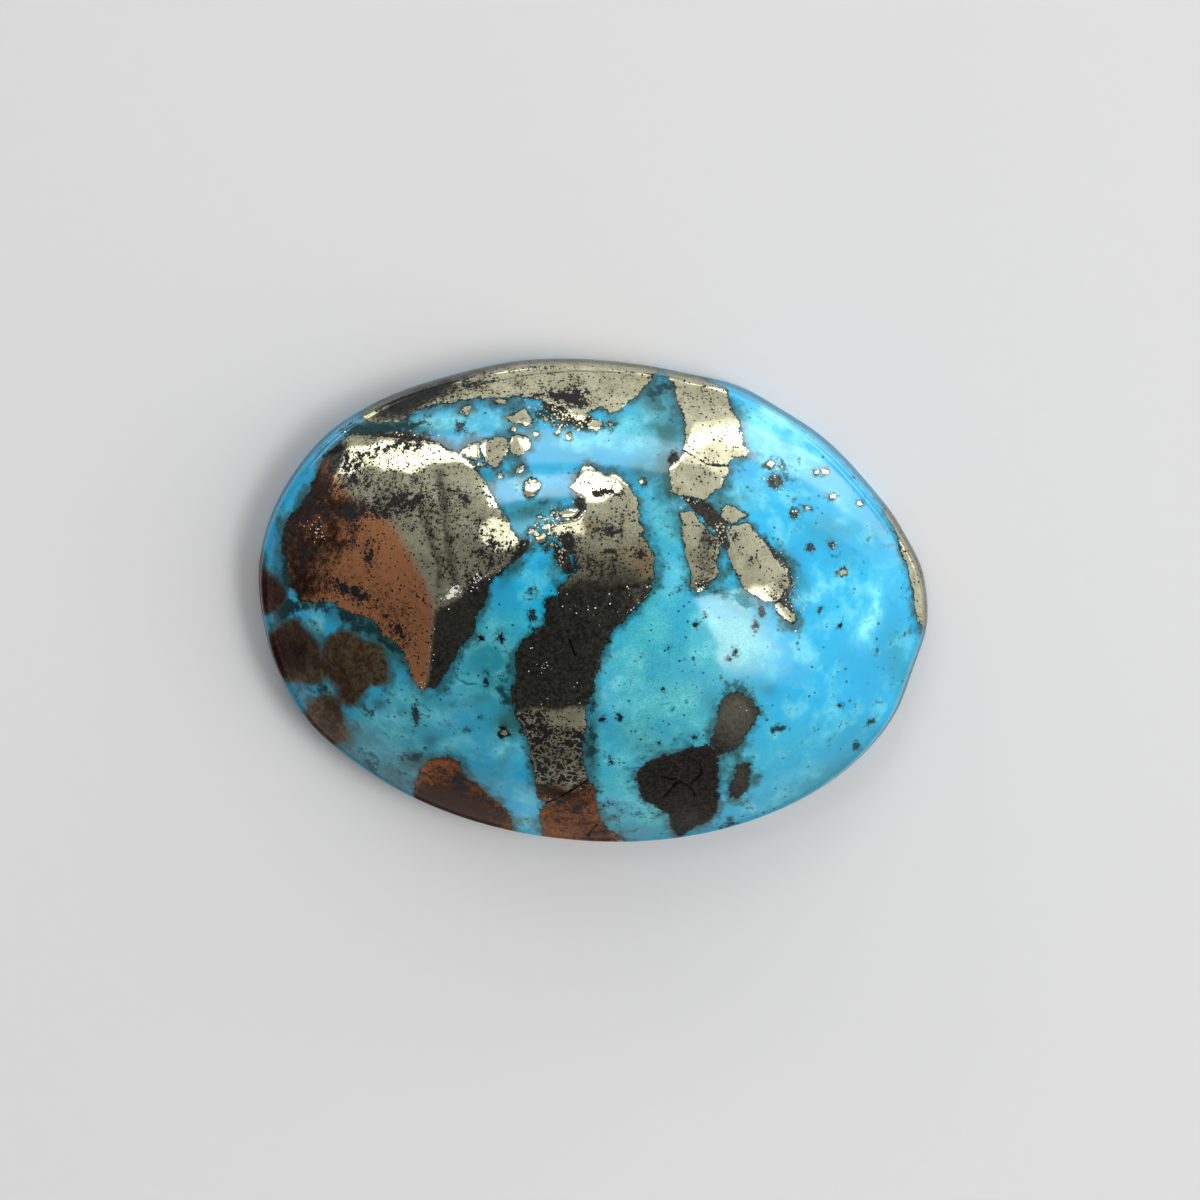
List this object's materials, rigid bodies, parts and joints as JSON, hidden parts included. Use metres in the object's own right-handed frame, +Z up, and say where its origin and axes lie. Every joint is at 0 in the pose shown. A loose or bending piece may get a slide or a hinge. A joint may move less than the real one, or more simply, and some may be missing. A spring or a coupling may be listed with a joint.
{
  "type": "turquoise cabochon",
  "caption": "Polished oval turquoise stone with pyrite and dark matrix, domed above and flat behind, for a ring, pendant or display.",
  "frame": {"origin": "middle of the flat back, on the surface that the stone rests on", "axes": "+X along the oval's length, +Y across its width, +Z up from the flat back through the crown of the dome"},
  "size_m": [0.028, 0.0202, 0.0072],
  "materials": {
    "turquoise": "waxy polish, sky blue with brassy polished pyrite and dull dark brown matrix"
  },
  "bodies": {
    "root": {"turquoise_stone": "turquoise"}
  },
  "joints": []
}
